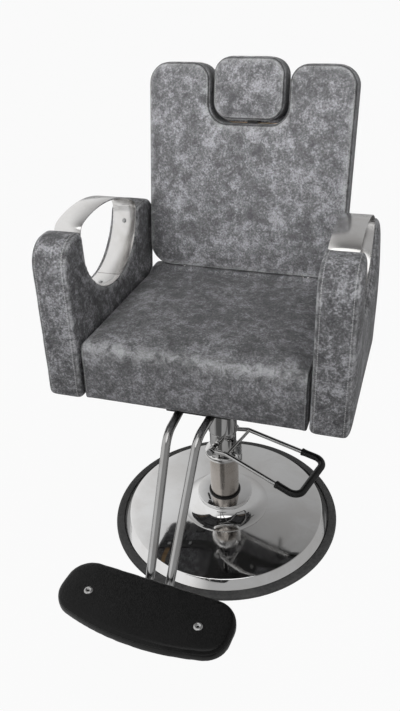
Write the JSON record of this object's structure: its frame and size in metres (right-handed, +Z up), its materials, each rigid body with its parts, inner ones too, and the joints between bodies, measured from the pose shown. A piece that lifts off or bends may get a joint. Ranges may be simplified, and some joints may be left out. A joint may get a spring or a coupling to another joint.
{
  "type": "threading chair",
  "caption": "Hydraulic beauty chair with a round chrome pump base, steel-loop arms, reclining back, sliding headrest and a T-shaped footrest.",
  "frame": {"origin": "centre of the round base on the floor", "axes": "+Z up, the sitter faces -Y, +X to the left hand of the sitter"},
  "size_m": [0.6732, 1.0229, 1.1284],
  "materials": {
    "mirror_chrome": "polished",
    "brushed_tube": "brushed",
    "black_rubber": "matte",
    "dark_steel": "satin black",
    "plain_steel": "zinc",
    "bronze": "plain",
    "grey_leatherette": "mottled satin",
    "black_vinyl": "grained gloss",
    "plywood": "plain"
  },
  "bodies": {
    "base": {"ballast_plate": "dark_steel", "base_cover": "mirror_chrome", "base_rim": "black_rubber", "base_bell": "mirror_chrome", "column_seal": "black_rubber", "pump_flange": "plain_steel", "flange_bolts": "plain_steel", "pump_tube": "brushed_tube", "oil_cylinder": "plain_steel", "pump_head": "mirror_chrome", "head_collar": "mirror_chrome", "rod_bush": "bronze", "rod_seal": "black_rubber", "lever_studs": "mirror_chrome", "plunger_spring": "plain_steel"},
    "ram": {"piston_rod": "mirror_chrome", "piston": "plain_steel", "thrust_collar": "plain_steel"},
    "plunger": {"pump_plunger": "plain_steel"},
    "lever": {"pump_lever": "mirror_chrome", "lever_grip": "black_rubber"},
    "seat": {"seat_hub": "dark_steel", "thrust_washer": "bronze", "column_shroud": "mirror_chrome", "mounting_plate": "dark_steel", "mounting_bolts": "plain_steel", "seat_board": "plywood", "seat_cushion": "grey_leatherette", "arm_rails": "dark_steel", "rail_bolts": "plain_steel", "arm_cores": "plywood", "arm_pad_left": "grey_leatherette", "arm_pad_right": "grey_leatherette", "arm_band_left": "brushed_tube", "arm_band_right": "brushed_tube", "band_screws": "mirror_chrome", "footrest_bar_left": "mirror_chrome", "footrest_bar_right": "mirror_chrome", "footrest_saddle": "dark_steel", "footrest_strap": "dark_steel", "footrest_board": "black_vinyl", "footrest_bolts": "mirror_chrome", "hinge_brackets": "dark_steel", "hinge_washers": "bronze", "pivot_bolts": "plain_steel", "lock_bolt": "plain_steel"},
    "lock": {"lock_handle": "mirror_chrome", "lock_grip": "black_rubber"},
    "back": {"back_board": "plywood", "back_cushion": "grey_leatherette", "rear_panel": "grey_leatherette", "back_steel_left": "dark_steel", "back_steel_right": "dark_steel", "headrest_guide": "dark_steel"},
    "headrest": {"headrest_bar": "mirror_chrome", "headrest_board": "plywood", "headrest_pad": "grey_leatherette"}
  },
  "joints": [
    {"name": "seat_lift", "type": "slide", "parent": "base", "child": "ram", "axis": [0, 0, 1], "range_m": [-0.05, 0.1]},
    {"name": "seat_swivel", "type": "hinge", "parent": "ram", "child": "seat", "pos_m": [0, 0, 0.41], "axis": [0, 0, 1], "continuous": true},
    {"name": "pump_lever", "type": "hinge", "parent": "base", "child": "lever", "pos_m": [0, 0, 0.258], "axis": [0.3024, 0.9532, 0], "range_deg": [0, 18], "stiffness_Nm_per_rad": 12, "springref_deg": -17.19},
    {"name": "plunger_slide", "type": "slide", "parent": "base", "child": "plunger", "axis": [0, 0, -1], "range_m": [0, 0.0155], "deforming": ["plunger_spring"]},
    {"name": "back_recline", "type": "hinge", "parent": "seat", "child": "back", "pos_m": [0, 0.24496, 0.58997], "axis": [-1, 0, 0], "range_deg": [0, 35]},
    {"name": "recline_lock", "type": "hinge", "parent": "seat", "child": "lock", "pos_m": [-0.17, 0.26556, 0.53897], "axis": [-1, 0, 0], "range_deg": [0, 50]},
    {"name": "headrest_slide", "type": "slide", "parent": "back", "child": "headrest", "axis": [0, 0.2062, 0.9785], "range_m": [0, 0.09]}
  ],
  "couplings": [
    {"joint": "plunger_slide", "follows": "pump_lever", "m_per_rad": 0.0472}
  ]
}
